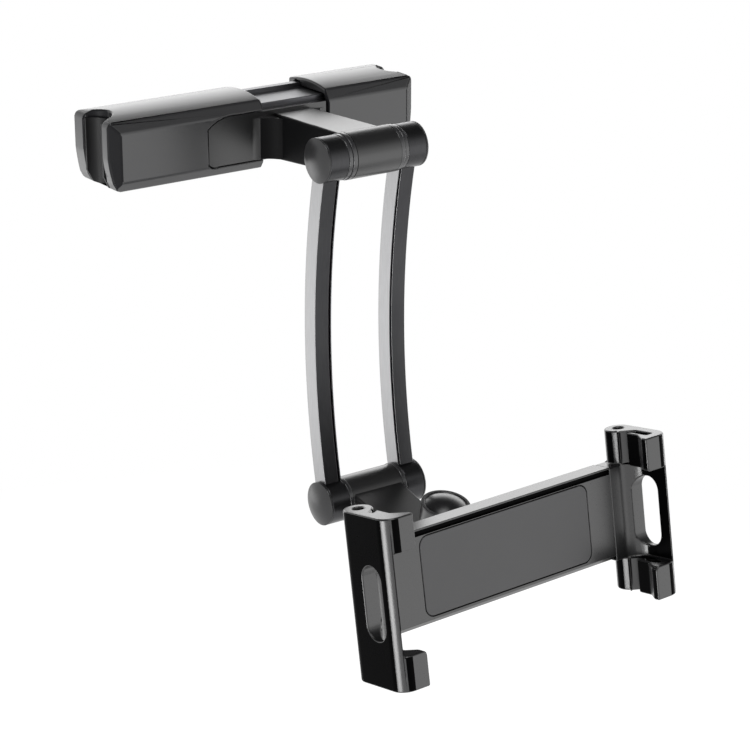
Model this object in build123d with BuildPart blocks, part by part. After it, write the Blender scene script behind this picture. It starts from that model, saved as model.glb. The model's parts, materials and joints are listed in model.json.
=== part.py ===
from build123d import *
import math
import os

# Headrest tablet mount. Lengths in millimetres, angles in degrees.
# Origin: on the line that joins the two headrest posts, at the clamp's mid height,
# in the middle plane of the arm. +X to the right jaw, -Y towards the rear passenger, +Z up.

# Share of a radius between the corner of a square and the middle of its quarter arc
arc_share = 1 - math.sqrt(0.5)

# Fits
slide_gap = 0.25
running_fit = 0.05
seat_gap = 0.1
press_gap = 0.02
overcut = 1.0

# Clamp section, shared by the left housing and the right jaw
clamp_low = -16.25
clamp_high = 16.25
clamp_front = -17.15
clamp_back = 17.15
bevel_depth = 3.0
bevel_height = 4.9
crown_rise = 2.0
back_round = 2.5
clamp_wall = 2.6
lip_bulge_high = 0.4
lip_bulge_low = 2.2
lip_length = 0.6
lip_chamfer = 2.5
lip_step = 0.2
bevel_end = 4.6

# Clamp lengths along X
housing_inner_end = -16.0
housing_crease_end = -96.6
jaw_inner_end = 19.8
jaw_crease_end = 70.1
housing_solid_end = 17.0

# Post grooves and their rubber liners
groove_r = 8.4
groove_inset = 0.2
liner_wall = 1.4
liner_top_drop = 1.6

# Rail, its rear rib and the slide bar inside it
rail_front = -11.15
rail_back = 13.85
rail_top = 13.6
rail_bottom = -13.65
rail_wall = 3.6
rib_rise = 2.1
rib_front = 7.15
rib_width = 3.6
rail_start = -79.0
rail_end = 50.0
rail_edge = 0.5
bar_length = 88.0
bar_block = 3.0
bar_lead = 1.0

# Arm: base plate in the housing's notch, tapering beam, hinge barrel
hinge_forward = 77.15
hinge_rise = 2.4
arm_root_half = 10.4
arm_root_low = -12.4
arm_root_high = 9.5
arm_end_inset = 1.5
arm_edge = 1.2
arm_left_flare = 12.0
arm_right_flare = 7.6
base_left = -45.8
base_right = 19.0
base_low = -11.4
base_high = 11.2
base_recess = 0.9
base_round = 5.0
base_heel = 1.5
base_sweep = 5.0
notch_gap = 0.4
base_screw_r = 2.0
base_screw_head_r = 3.6
base_screw_head = 2.0
base_screw_reach = 4.0
base_screw_x = 30.0

# Hinges
barrel_r = 10.8
axle_r = 4.0
eye_r = 10.3
eye_width = 9.7
step_washer_r = 10.75
thin_washer_r = 10.4
step_washer_width = 2.2
upper_washer_width = 2.0
lower_washer_width = 1.9
washer_edge = 0.4
cap_rim = 0.8
cap_dome = 2.2
cap_plug_r = 7.0
cap_recess = 3.0

# Links
link_span = 165.0
link_bow = 9.7
link_depth = 8.9
link_width = 8.9
link_seam = 1.4

# Tongue on the lower hinge
tongue_tilt = 12.0
tongue_half = 12.3
tongue_thick = 12.6
lower_barrel_r = 10.1
lower_barrel_half = 14.2
boss_reach = 57.6
tongue_edge = 0.8

# Swivel head, its pin and cap
head_turn = 3.9
head_r = 11.0
head_top = 26.4
pin_r = 3.5
pin_head_r = 6.5
pin_head = 2.0
pin_top = 24.0
head_cap_r = 11.4
head_cap_rim = 1.3
head_cap_dome = 2.6
head_cap_ledge = 1.5
head_cap_step = 0.4
head_cap_bevel = 0.3
head_plug_r = 7.5
head_plug = 1.6

# Ball joint
ball_ahead = 12.0
ball_height = 15.8
ball_r = 6.2
ball_fit = 0.08
socket_r = 8.2
socket_front = 1.0
ring_r = 9.2
ring_front = 3.2
ring_grips = 16
ring_grip_r = 0.7
ring_mouth_r = 5.6
neck_r = 3.2
neck_taper = 2.0
stud_length = 28.0
cradle_lean = -21.7
cradle_roll = 1.0

# Cradle body and panel
cradle_width = 164.0
body_inset = 18.5
body_front = -5.5
body_back = 4.6
body_low = -21.1
body_high = 22.5
top_band_drop = 0.9
top_band_height = 2.3
top_band_depth = 1.3
bottom_chamfer = 2.2
body_edge = 1.0
panel_half = 48.7
panel_low = -17.4
panel_high = 18.5
panel_round = 4.5
panel_thick = 1.6
panel_gap = 0.35
hub_r = 17.0
hub_thick = 5.0
hub_edge = 1.2
flange_r = 9.0
flange_thick = 2.4
shaft_r = 4.5

# End brackets. u runs inwards from the outer face of each bracket.
bracket_half = 37.8
bracket_front = -27.3
bracket_corner = 6.8
wall_thick = 3.2
lobe_u = 6.4
lobe_y = -0.8
lobe_r = 6.4
lobe_hole_r = 2.5
lobe_hole_depth = 14.0
left_pad_u = 9.5
right_pad_u = 11.2
lip_end_u = 14.8
lip_thick = 3.0
lip_slope = 5.6
upper_hook_low = 22.3
lower_hook_high = -22.0
hook_corner = 2.2
web_blend = 9.8
slot_y = -13.3
slot_z = -0.4
slot_width = 12.4
slot_height = 32.8
slot_reach = 8.0
channel_mouth = -7.4
left_channel_u = 6.2
left_channel_bend = -10.4
left_channel_end = -11.6
left_channel_width = 2.2
right_channel_u = 7.4
right_channel_bend = -11.8
right_channel_end = -22.0
right_channel_width = 3.8
slide_plate_reach = 92.0
slide_plate_front = -2.4
slide_plate_back = 1.4
slide_plate_height = 12.0
slide_plate_from_middle = 1.5
slide_plate_middle = 0.6

os.makedirs("parts", exist_ok=True)


def finish(builder, name):
    """Label one finished piece and write it."""
    builder.part.label = name
    export_step(builder.part, f"parts/{name}.step")


def on(frame, plane):
    """A plane given in a moved frame."""
    return Plane(frame * plane.location)


def dome_height(radius, rise, at_r):
    """Height of a spherical dome over its rim, at a distance from its axis."""
    sphere = (radius**2 + rise**2) / (2 * rise)
    return math.sqrt(sphere**2 - at_r**2) - (sphere - rise)


def across(frame, x):
    """The plane of a frame's YZ section at x, looking along +X."""
    return on(frame, Plane.YZ.offset(x))


# Places along a hinge, outwards from its middle
eye_inner = lower_barrel_half + lower_washer_width + 2 * seat_gap
eye_outer = eye_inner + eye_width
link_outer = eye_inner + link_width
axle_half = eye_outer - cap_recess
thin_start = eye_inner - seat_gap - upper_washer_width
step_start = thin_start - seat_gap - step_washer_width
barrel_half = step_start - seat_gap

# Frames, each worked out from the one that carries it
upper_frame = Location((0, -hinge_forward, hinge_rise))
lower_frame = upper_frame * Location((0, 0, -link_span))
tongue_frame = lower_frame * Location((0, 0, 0), (tongue_tilt, 0, 0))
head_frame = tongue_frame * Location((0, -boss_reach, 0), (0, 0, head_turn))
ball_frame = head_frame * Location((0, -ball_ahead, ball_height), (cradle_lean, 0, 0))
cradle_frame = ball_frame * Location((0, -stud_length, 0), (0, cradle_roll, 0))

# Clamp housings
clamp_crease = clamp_front + bevel_depth
crown_y = (clamp_crease + clamp_back) / 2


def clamp_outline(x):
    """Section of both housings at x: crowned top, bevelled front, rounded back."""
    with BuildSketch(Plane.YZ.offset(x)) as outline:
        with BuildLine():
            bottom = Line((clamp_back - back_round, clamp_low), (clamp_crease, clamp_low))
            front_low = Line(bottom @ 1, (clamp_front, clamp_low + bevel_height))
            front = Line(front_low @ 1, (clamp_front, clamp_high - bevel_height))
            front_high = Line(front @ 1, (clamp_crease, clamp_high))
            crown = ThreePointArc(
                front_high @ 1, (crown_y, clamp_high + crown_rise), (clamp_back, clamp_high)
            )
            back = Line(crown @ 1, (clamp_back, clamp_low + back_round))
            heel_in = back_round * arc_share
            ThreePointArc(back @ 1, (clamp_back - heel_in, clamp_low + heel_in), bottom @ 0)
        make_face()
    return outline.sketch


def clamp_cavity(x, gap):
    """Section at x of the space for the rail, wider than the rail by a gap."""
    front = clamp_front + clamp_wall
    with BuildSketch(Plane.YZ.offset(x)) as cavity:
        with BuildLine():
            Polyline(
                (front, rail_bottom - gap),
                (rail_back + gap, rail_bottom - gap),
                (rail_back + gap, rail_top + gap),
                (rib_front + rib_width + gap, rail_top + gap),
                (rib_front + rib_width + gap, rail_top + rib_rise + gap),
                (rib_front - gap, rail_top + rib_rise + gap),
                (rib_front - gap, rail_top + gap),
                (clamp_crease + clamp_wall / 2, rail_top + gap),
                (front, clamp_high - bevel_height - clamp_wall / 2),
                close=True,
            )
        make_face()
    return cavity.sketch


def end_outline(crease_end, inner_end, side):
    """Front view of a housing: barrel-shaped outer end with its lower corner cut off."""
    lip_end = crease_end + side * lip_length
    over = clamp_high + crown_rise + overcut
    with BuildSketch(Plane.XZ.offset(-clamp_back - overcut)) as outline:
        with BuildLine():
            top = Line((inner_end, over), (lip_end - side * lip_bulge_high, over))
            bulge_foot = (lip_end - side * lip_bulge_low, clamp_low + lip_chamfer)
            bulge = ThreePointArc(top @ 1, (lip_end, 0), bulge_foot)
            corner = Line(bulge @ 1, (lip_end - side * (lip_bulge_low + lip_chamfer), clamp_low))
            foot = Line(corner @ 1, (inner_end, clamp_low))
            Line(foot @ 1, top @ 0)
        make_face()
    return outline.sketch


def groove_centre(crease_end, side):
    """X of the post's axis in a housing's outer end."""
    return crease_end - side * groove_inset


def outer_bevel(crease_end, side):
    """Plan of what the bevel at the outer end takes off, in front of the lip."""
    far = crease_end + side * (lip_length + overcut)
    with BuildSketch(Plane.XY.offset(clamp_low - overcut)) as bevel:
        with BuildLine():
            Polyline(
                (far, clamp_front - overcut),
                (crease_end - side * bevel_end, clamp_front - overcut),
                (crease_end - side * bevel_end, clamp_front),
                (crease_end, clamp_crease),
                (crease_end + side * lip_length, clamp_crease + lip_step),
                (far, clamp_crease + lip_step),
                close=True,
            )
        make_face()
    return bevel.sketch


def clamp_shell(crease_end, inner_end, side, gap):
    """One housing: beveled shell round the rail, with the post groove in its solid end."""
    length = abs(crease_end - inner_end)
    tall = clamp_high - clamp_low + crown_rise + 2 * overcut
    with BuildPart() as shell:
        extrude(clamp_outline(inner_end), amount=side * (length + lip_length))
        extrude(
            end_outline(crease_end, inner_end, side),
            amount=clamp_back - clamp_front + 2 * overcut,
            mode=Mode.INTERSECT,
        )
        extrude(outer_bevel(crease_end, side), amount=tall, mode=Mode.SUBTRACT)
        with BuildSketch(Plane.XY.offset(clamp_low - overcut)):
            with Locations((groove_centre(crease_end, side), 0)):
                Circle(groove_r)
        extrude(amount=tall, mode=Mode.SUBTRACT)
        extrude(
            clamp_cavity(inner_end - side * overcut, gap),
            amount=side * (length - housing_solid_end + overcut),
            mode=Mode.SUBTRACT,
        )
    return shell.part


def base_outline(forward, gap, right):
    """Front view of the arm's base plate, widened by a gap: its top sweeps down to the left."""
    low = base_low - gap
    high = base_high + gap
    left = base_left - gap
    with BuildSketch(Plane.XZ.offset(forward)) as outline:
        with BuildLine():
            floor = Line((right, low), (left + base_round, low))
            heel_mid = (left + base_round / 4, low + base_heel / 4)
            heel = ThreePointArc(floor @ 1, heel_mid, (left, low + base_heel))
            end = Line(heel @ 1, (left, high - base_sweep))
            top = ThreePointArc(
                end @ 1, (left + base_round, high - base_sweep / 3), (left + 3 * base_round, high)
            )
            head = Line(top @ 1, (right, high))
            Line(head @ 1, floor @ 0)
        make_face()
    return outline.sketch


with BuildPart() as left_housing:
    add(clamp_shell(housing_crease_end, housing_inner_end, -1, press_gap))
    extrude(
        base_outline(-clamp_front + overcut, notch_gap, housing_inner_end + overcut),
        amount=-(rail_front - clamp_front + overcut),
        mode=Mode.SUBTRACT,
    )
finish(left_housing, "left_housing")

with BuildPart() as right_jaw:
    add(clamp_shell(jaw_crease_end, jaw_inner_end, 1, slide_gap))
finish(right_jaw, "right_jaw")


def post_liner(name, crease_end, side):
    """Rubber lining of one post groove."""
    centre = groove_centre(crease_end, side)
    outer = groove_r - press_gap
    with BuildPart() as liner:
        with BuildSketch(Plane.XY.offset(clamp_low)):
            with Locations((centre, 0)):
                Circle(outer)
                Circle(outer - liner_wall, mode=Mode.SUBTRACT)
            with Locations((crease_end + side * outer, 0)):
                Rectangle(2 * outer, 2 * groove_r, mode=Mode.SUBTRACT)
        extrude(amount=clamp_high - liner_top_drop - clamp_low)
    finish(liner, name)


post_liner("left_liner", housing_crease_end, -1)
post_liner("right_liner", jaw_crease_end, 1)

# Rail, slide bar
with BuildPart() as rail:
    with BuildSketch(Plane.YZ.offset(rail_start)):
        with BuildLine():
            Polyline(
                (rail_front, rail_bottom),
                (rail_back, rail_bottom),
                (rail_back, rail_top),
                (rib_front + rib_width, rail_top),
                (rib_front + rib_width, rail_top + rib_rise),
                (rib_front, rail_top + rib_rise),
                (rib_front, rail_top),
                (rail_front, rail_top),
                close=True,
            )
        make_face()
        fillet(vertices().group_by(Axis.Y)[0], rail_edge)
        fillet(vertices().group_by(Axis.X)[0].sort_by(Axis.Y)[-1], rail_edge)
        with Locations(((rail_front + rail_back) / 2, (rail_bottom + rail_top) / 2)):
            Rectangle(
                rail_back - rail_front - 2 * rail_wall,
                rail_top - rail_bottom - 2 * rail_wall,
                mode=Mode.SUBTRACT,
            )
    extrude(amount=rail_end - rail_start)
    with BuildSketch(Plane.XZ.offset(-rail_front + overcut)):
        with Locations((-base_screw_x, 0)):
            Circle(base_screw_r + press_gap)
    extrude(amount=-(rail_wall + overcut), mode=Mode.SUBTRACT)
    with BuildSketch(Plane.XZ.offset(-rail_front - rail_wall)):
        with Locations((-base_screw_x, 0)):
            Circle(base_screw_head_r + seat_gap)
    extrude(amount=base_screw_head + seat_gap, mode=Mode.SUBTRACT)
finish(rail, "rail")

bar_start = jaw_crease_end - housing_solid_end - bar_block - press_gap - bar_length
with BuildPart() as slide_bar:
    with BuildSketch(Plane.YZ.offset(bar_start)):
        with Locations(((rail_front + rail_back) / 2, (rail_bottom + rail_top) / 2)):
            Rectangle(
                rail_back - rail_front - 2 * (rail_wall + slide_gap),
                rail_top - rail_bottom - 2 * (rail_wall + slide_gap),
            )
    extrude(amount=bar_length + bar_block)
    chamfer(faces().sort_by(Axis.X)[0].edges(), bar_lead)
finish(slide_bar, "slide_bar")

# Arm
hinge_y = -hinge_forward
base_face = clamp_front + base_recess
with BuildPart() as arm:
    with BuildSketch(Plane.XZ.offset(-base_face)):
        with Locations((0, (arm_root_low + arm_root_high) / 2)):
            RectangleRounded(2 * arm_root_half, arm_root_high - arm_root_low, arm_edge)
    with BuildSketch(Plane.XZ.offset(hinge_forward)):
        with Locations((0, hinge_rise)):
            RectangleRounded(2 * barrel_half, 2 * (barrel_r - arm_end_inset), arm_edge)
    loft()
    extrude(base_outline(-base_face, 0, base_right), amount=-(rail_front - base_face - press_gap))
    with BuildSketch(Plane.XY.offset(arm_root_low + arm_edge)):
        for side, reach in ((-1, arm_left_flare), (1, arm_right_flare)):
            inner = side * (arm_root_half - arm_edge)
            outer = side * (arm_root_half + reach)
            with BuildLine():
                wall = Line((inner, base_face - reach), (inner, base_face + arm_edge))
                floor = Line(wall @ 1, (outer, base_face + arm_edge))
                step = Line(floor @ 1, (outer, base_face))
                flare_mid = (side * (arm_root_half + reach * arc_share), base_face - reach * arc_share)
                ThreePointArc(step @ 1, flare_mid, wall @ 0)
            make_face()
    extrude(amount=arm_root_high - arm_root_low - 2 * arm_edge)
    with BuildSketch(Plane.YZ.offset(-barrel_half)):
        with Locations((hinge_y, hinge_rise)):
            Circle(barrel_r)
    extrude(amount=2 * barrel_half)
    with BuildSketch(Plane.YZ.offset(-barrel_half - overcut)):
        with Locations((hinge_y, hinge_rise)):
            Circle(axle_r + running_fit)
    extrude(amount=2 * (barrel_half + overcut), mode=Mode.SUBTRACT)
    with BuildSketch(Plane.XZ.offset(-rail_front - overcut)):
        with Locations((-base_screw_x, 0)):
            Circle(base_screw_r + press_gap)
    extrude(amount=base_screw_reach + overcut + seat_gap, mode=Mode.SUBTRACT)
finish(arm, "arm")

screw_head_face = -rail_front - rail_wall + seat_gap
with BuildPart() as base_screw:
    with BuildSketch(Plane.XZ.offset(screw_head_face)):
        with Locations((-base_screw_x, 0)):
            Circle(base_screw_head_r)
    extrude(amount=base_screw_head)
    with BuildSketch(Plane.XZ.offset(screw_head_face + base_screw_head)):
        with Locations((-base_screw_x, 0)):
            Circle(base_screw_r)
    extrude(amount=base_screw_reach - rail_front - screw_head_face - base_screw_head)
finish(base_screw, "base_screw")


def disc(frame, x, radius, bore=0):
    """Round section across a frame's X axis at x, with a bore."""
    with BuildSketch(across(frame, x)) as section:
        Circle(radius)
        if bore:
            Circle(bore, mode=Mode.SUBTRACT)
    return section.sketch


def hinge_axle(name, frame):
    """Plain shaft through both eyes and the barrel."""
    with BuildPart() as axle:
        extrude(disc(frame, -axle_half, axle_r), amount=2 * axle_half)
    finish(axle, name)


hinge_axle("upper_axle", upper_frame)
hinge_axle("lower_axle", lower_frame)


def washer(name, frame, side, inner, width, radius):
    """Thrust washer beside a hinge barrel, with broken rims."""
    start = min(side * inner, side * (inner + width))
    with BuildPart() as ring:
        extrude(disc(frame, start, radius, axle_r + running_fit), amount=width)
        chamfer(ring.edges().group_by(SortBy.LENGTH)[-1], washer_edge)
    finish(ring, name)


lower_start = lower_barrel_half + seat_gap
for side, word in ((-1, "left"), (1, "right")):
    washer(f"upper_step_washer_{word}", upper_frame, side, step_start, step_washer_width, step_washer_r)
    washer(f"upper_thin_washer_{word}", upper_frame, side, thin_start, upper_washer_width, thin_washer_r)
    washer(f"lower_washer_{word}", lower_frame, side, lower_start, lower_washer_width, thin_washer_r)


def eye_cap(name, frame, side):
    """Domed cap whose plug sits in the eye's recess."""
    rim_x = eye_outer + seat_gap
    plug_x = side * (axle_half + slide_gap)
    plug_r = cap_plug_r - press_gap
    dome_x = side * (rim_x + cap_rim + dome_height(eye_r, cap_dome, eye_r / 2))
    with BuildPart() as cap:
        with BuildSketch(on(frame, Plane.XZ)):
            with BuildLine():
                plug_end = Line((plug_x, 0), (plug_x, plug_r))
                plug = Line(plug_end @ 1, (side * rim_x, plug_r))
                seat = Line(plug @ 1, (side * rim_x, eye_r))
                rim = Line(seat @ 1, (side * (rim_x + cap_rim), eye_r))
                dome = ThreePointArc(
                    rim @ 1, (dome_x, eye_r / 2), (side * (rim_x + cap_rim + cap_dome), 0)
                )
                Line(dome @ 1, plug_end @ 0)
            make_face()
        revolve(axis=Axis(frame.position, (1, 0, 0)))
    finish(cap, name)


# Links: both bars lie on one arc about a centre in front of the hinges
mid_radius = (link_span**2 / 4 + link_bow**2) / (2 * link_bow)
arc_y = link_bow - mid_radius
arc_z = -link_span / 2
end_angle = math.degrees(math.asin(link_span / 2 / mid_radius))


def link(name, side):
    """One bowed bar with an eye at each end, bored and recessed for axle and cap."""
    with BuildPart() as bar:
        with BuildSketch(across(upper_frame, side * eye_inner)):
            with BuildLine():
                inside = CenterArc((arc_y, arc_z), mid_radius - link_depth / 2, -end_angle, 2 * end_angle)
                outside = CenterArc((arc_y, arc_z), mid_radius + link_depth / 2, -end_angle, 2 * end_angle)
                Line(inside @ 0, outside @ 0)
                Line(inside @ 1, outside @ 1)
            make_face()
        extrude(amount=side * (link_outer - eye_inner))
        with BuildSketch(across(upper_frame, side * (eye_inner - overcut))):
            with BuildLine():
                seam_in = CenterArc((arc_y, arc_z), mid_radius - link_depth, -end_angle, 2 * end_angle)
                seam_out = CenterArc(
                    (arc_y, arc_z), mid_radius - link_depth / 2 + link_seam, -end_angle, 2 * end_angle
                )
                Line(seam_in @ 0, seam_out @ 0)
                Line(seam_in @ 1, seam_out @ 1)
            make_face()
        extrude(amount=side * (overcut + link_seam), mode=Mode.SUBTRACT)
        for frame in (upper_frame, lower_frame):
            with BuildSketch(across(frame, side * eye_inner)):
                Circle(eye_r)
            extrude(amount=side * (eye_outer - eye_inner))
        for frame in (upper_frame, lower_frame):
            with BuildSketch(across(frame, side * (eye_inner - overcut))):
                Circle(axle_r + press_gap)
            extrude(amount=side * (eye_outer - eye_inner + 2 * overcut), mode=Mode.SUBTRACT)
            with BuildSketch(across(frame, side * axle_half)):
                Circle(cap_plug_r)
            extrude(amount=side * (eye_outer - axle_half + overcut), mode=Mode.SUBTRACT)
    finish(bar, name)


for side, word in ((-1, "left"), (1, "right")):
    link(f"{word}_link", side)
    eye_cap(f"upper_cap_{word}", upper_frame, side)
    eye_cap(f"lower_cap_{word}", lower_frame, side)

# Tongue
touch_angle = math.atan2(boss_reach, lower_barrel_half) - math.acos(
    tongue_half / math.hypot(lower_barrel_half, boss_reach)
)
touch_x = tongue_half * math.cos(touch_angle)
touch_y = tongue_half * math.sin(touch_angle) - boss_reach
with BuildPart() as tongue:
    with BuildSketch(on(tongue_frame, Plane.XY.offset(-tongue_thick / 2))):
        with Locations((0, -boss_reach)):
            Circle(tongue_half)
        with BuildLine():
            Polyline(
                (-lower_barrel_half, 0),
                (lower_barrel_half, 0),
                (touch_x, touch_y),
                (-touch_x, touch_y),
                close=True,
            )
        make_face()
    extrude(amount=tongue_thick)
    chamfer(tongue.faces().filter_by(on(tongue_frame, Plane.XY)).edges(), tongue_edge)
    extrude(disc(tongue_frame, -lower_barrel_half, lower_barrel_r), amount=2 * lower_barrel_half)
    with BuildSketch(across(tongue_frame, -lower_barrel_half - overcut)):
        Circle(axle_r + running_fit)
    extrude(amount=2 * (lower_barrel_half + overcut), mode=Mode.SUBTRACT)
    with BuildSketch(on(head_frame, Plane.XY.offset(-tongue_thick / 2 - overcut))):
        Circle(pin_r + press_gap)
    extrude(amount=tongue_thick + 2 * overcut, mode=Mode.SUBTRACT)
finish(tongue, "tongue")

with BuildPart() as swivel_pin:
    with BuildSketch(on(head_frame, Plane.XY.offset(-tongue_thick / 2 - pin_head))):
        Circle(pin_head_r)
    extrude(amount=pin_head - press_gap)
    with BuildSketch(on(head_frame, Plane.XY.offset(-tongue_thick / 2 - pin_head))):
        Circle(pin_r)
    extrude(amount=pin_head + tongue_thick / 2 + pin_top)
finish(swivel_pin, "swivel_pin")

# Swivel head with the ball socket on its front
head_bottom = tongue_thick / 2 + seat_gap
socket_plane = on(head_frame, Plane.XZ)
with BuildPart() as swivel_head:
    with BuildSketch(on(head_frame, Plane.XY.offset(head_bottom))):
        Circle(head_r)
    extrude(amount=head_top - head_bottom)
    with BuildSketch(on(head_frame * Location((0, 0, ball_height)), Plane.XZ)):
        Circle(socket_r)
    extrude(amount=ball_ahead + socket_front)
    with BuildSketch(on(head_frame, Plane.XY.offset(head_bottom - overcut))):
        Circle(pin_r + running_fit)
    extrude(amount=pin_top - head_bottom + 2 * overcut, mode=Mode.SUBTRACT)
    with BuildSketch(on(head_frame, Plane.XY.offset(pin_top + seat_gap))):
        Circle(head_plug_r)
    extrude(amount=head_top - pin_top, mode=Mode.SUBTRACT)
    with BuildSketch(on(ball_frame, Plane.XY)):
        with BuildLine():
            socket_arc = CenterArc((0, 0), ball_r + ball_fit, -90, 180)
            Line(socket_arc @ 1, socket_arc @ 0)
        make_face()
    revolve(axis=Axis(ball_frame.position, on(ball_frame, Plane.XY).y_dir), mode=Mode.SUBTRACT)
finish(swivel_head, "swivel_head")

with BuildPart() as lock_ring:
    ring_start = head_r + seat_gap
    ring_length = ball_ahead + ring_front - ring_start
    ring_frame = head_frame * Location((0, 0, ball_height))
    with BuildSketch(on(ring_frame, Plane.XZ.offset(ring_start))):
        Circle(ring_r)
        with PolarLocations(ring_r, ring_grips):
            Circle(ring_grip_r, mode=Mode.SUBTRACT)
    extrude(amount=ring_length)
    with BuildSketch(on(ring_frame, Plane.XZ.offset(ring_start - overcut))):
        Circle(socket_r + press_gap)
    extrude(amount=ball_ahead + socket_front + press_gap - ring_start + overcut, mode=Mode.SUBTRACT)
    with BuildSketch(on(ring_frame, Plane.XZ.offset(ring_start))):
        Circle(ring_mouth_r)
    extrude(amount=2 * ring_length, mode=Mode.SUBTRACT)
    with BuildSketch(on(ball_frame, Plane.XY)):
        with BuildLine():
            ring_arc = CenterArc((0, 0), ball_r + ball_fit, -90, 180)
            Line(ring_arc @ 1, ring_arc @ 0)
        make_face()
    revolve(axis=Axis(ball_frame.position, on(ball_frame, Plane.XY).y_dir), mode=Mode.SUBTRACT)
finish(lock_ring, "lock_ring")

with BuildPart() as head_cap:
    with BuildSketch(on(head_frame, Plane.XZ)):
        with BuildLine():
            rim_low = head_top + press_gap
            rim_high = rim_low + head_cap_rim
            cap_axis = Line((0, rim_high + head_cap_dome), (0, rim_low - head_plug))
            cap_plug_foot = Line(cap_axis @ 1, (head_plug_r - press_gap, rim_low - head_plug))
            cap_plug_side = Line(cap_plug_foot @ 1, (head_plug_r - press_gap, rim_low))
            cap_seat = Line(cap_plug_side @ 1, (head_cap_r, rim_low))
            cap_side = Line(cap_seat @ 1, (head_cap_r, rim_high - head_cap_bevel))
            cap_bevel = Line(cap_side @ 1, (head_cap_r - head_cap_bevel, rim_high))
            cap_ledge = Line(cap_bevel @ 1, (head_cap_r - head_cap_ledge, rim_high))
            dome_r = head_cap_r - head_cap_ledge - head_cap_step
            cap_step = Line(cap_ledge @ 1, (dome_r, rim_high - head_cap_step))
            dome_rise = head_cap_dome + head_cap_step
            dome_mid = rim_high - head_cap_step + dome_height(dome_r, dome_rise, dome_r / 2)
            ThreePointArc(cap_step @ 1, (dome_r / 2, dome_mid), cap_axis @ 0)
        make_face()
    revolve(axis=Axis(head_frame.position, on(head_frame, Plane.XY).z_dir))
finish(head_cap, "head_cap")

# Ball stud: ball, neck, shaft and the flange that turns inside the hub
hub_back = body_back + hub_thick
stud_axis = Axis(ball_frame.position, on(ball_frame, Plane.XY).y_dir)
with BuildPart() as ball_stud:
    with BuildSketch(on(cradle_frame, Plane.XY)):
        flange_front = body_back + seat_gap
        with BuildLine():
            flange_face = Line((0, flange_front), (flange_r, flange_front))
            flange_side = Line(flange_face @ 1, (flange_r, flange_front + flange_thick))
            flange_rear = Line(flange_side @ 1, (shaft_r, flange_front + flange_thick))
            shaft_side = Line(flange_rear @ 1, (shaft_r, hub_back + seat_gap))
            taper = Line(shaft_side @ 1, (neck_r, hub_back + neck_taper))
            meet = math.sqrt(ball_r**2 - neck_r**2)
            neck_side = Line(taper @ 1, (neck_r, stud_length - meet))
            ball_arc = ThreePointArc(neck_side @ 1, (ball_r, stud_length), (0, stud_length + ball_r))
            Line(ball_arc @ 1, flange_face @ 0)
        make_face()
    revolve(axis=stud_axis)
finish(ball_stud, "ball_stud")

with BuildPart() as hub:
    with BuildSketch(on(cradle_frame, Plane.XY)):
        with BuildLine():
            cavity_r = flange_r + running_fit
            cavity_back = body_back + seat_gap + flange_thick + seat_gap
            hub_face = Line((cavity_r, body_back + press_gap), (hub_r, body_back + press_gap))
            hub_side = Line(hub_face @ 1, (hub_r, hub_back - hub_edge))
            hub_bevel = Line(hub_side @ 1, (hub_r - hub_edge, hub_back))
            hub_rear = Line(hub_bevel @ 1, (shaft_r + running_fit, hub_back))
            hub_bore = Line(hub_rear @ 1, (shaft_r + running_fit, cavity_back))
            hub_step = Line(hub_bore @ 1, (cavity_r, cavity_back))
            Line(hub_step @ 1, hub_face @ 0)
        make_face()
    revolve(axis=stud_axis)
finish(hub, "hub")

# Cradle body
body_half = cradle_width / 2 - body_inset
upper_plate_low = slide_plate_middle + slide_plate_from_middle
lower_plate_high = slide_plate_middle - slide_plate_from_middle
plate_ranges = {
    -1: (upper_plate_low, upper_plate_low + slide_plate_height),
    1: (lower_plate_high - slide_plate_height, lower_plate_high),
}
with BuildPart() as cradle_body:
    with BuildSketch(across(cradle_frame, -body_half)):
        with BuildLine():
            Polyline(
                (body_back, body_low + body_edge),
                (body_back, body_high),
                (body_front, body_high),
                (body_front, body_high - top_band_drop),
                (body_front + top_band_depth, body_high - top_band_drop),
                (body_front + top_band_depth, body_high - top_band_drop - top_band_height),
                (body_front, body_high - top_band_drop - top_band_height),
                (body_front, body_low + bottom_chamfer),
                (body_front + bottom_chamfer, body_low),
                (body_back - body_edge, body_low),
                close=True,
            )
        make_face()
    extrude(amount=2 * body_half)
    with BuildSketch(on(cradle_frame, Plane.XZ.offset(-body_front))):
        with Locations((0, (panel_low + panel_high) / 2)):
            recess_wide = 2 * (panel_half + panel_gap)
            recess_tall = panel_high - panel_low + 2 * panel_gap
            RectangleRounded(recess_wide, recess_tall, panel_round + panel_gap)
    extrude(amount=-panel_thick, mode=Mode.SUBTRACT)
    for side in (-1, 1):
        low, high = plate_ranges[side]
        with BuildSketch(across(cradle_frame, side * (body_half + overcut))):
            with Locations(((slide_plate_front + slide_plate_back) / 2, (low + high) / 2)):
                Rectangle(
                    slide_plate_back - slide_plate_front + 2 * slide_gap, high - low + 2 * slide_gap
                )
        extrude(amount=-side * (slide_plate_reach + 2 * overcut), mode=Mode.SUBTRACT)
finish(cradle_body, "cradle_body")

with BuildPart() as front_panel:
    with BuildSketch(on(cradle_frame, Plane.XZ.offset(-body_front))):
        with Locations((0, (panel_low + panel_high) / 2)):
            RectangleRounded(2 * panel_half, panel_high - panel_low, panel_round)
    extrude(amount=-(panel_thick - press_gap))
finish(front_panel, "front_panel")


# End brackets
cut_depth = bracket_corner - math.sqrt(bracket_corner**2 - (bracket_corner - wall_thick) ** 2)


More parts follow.
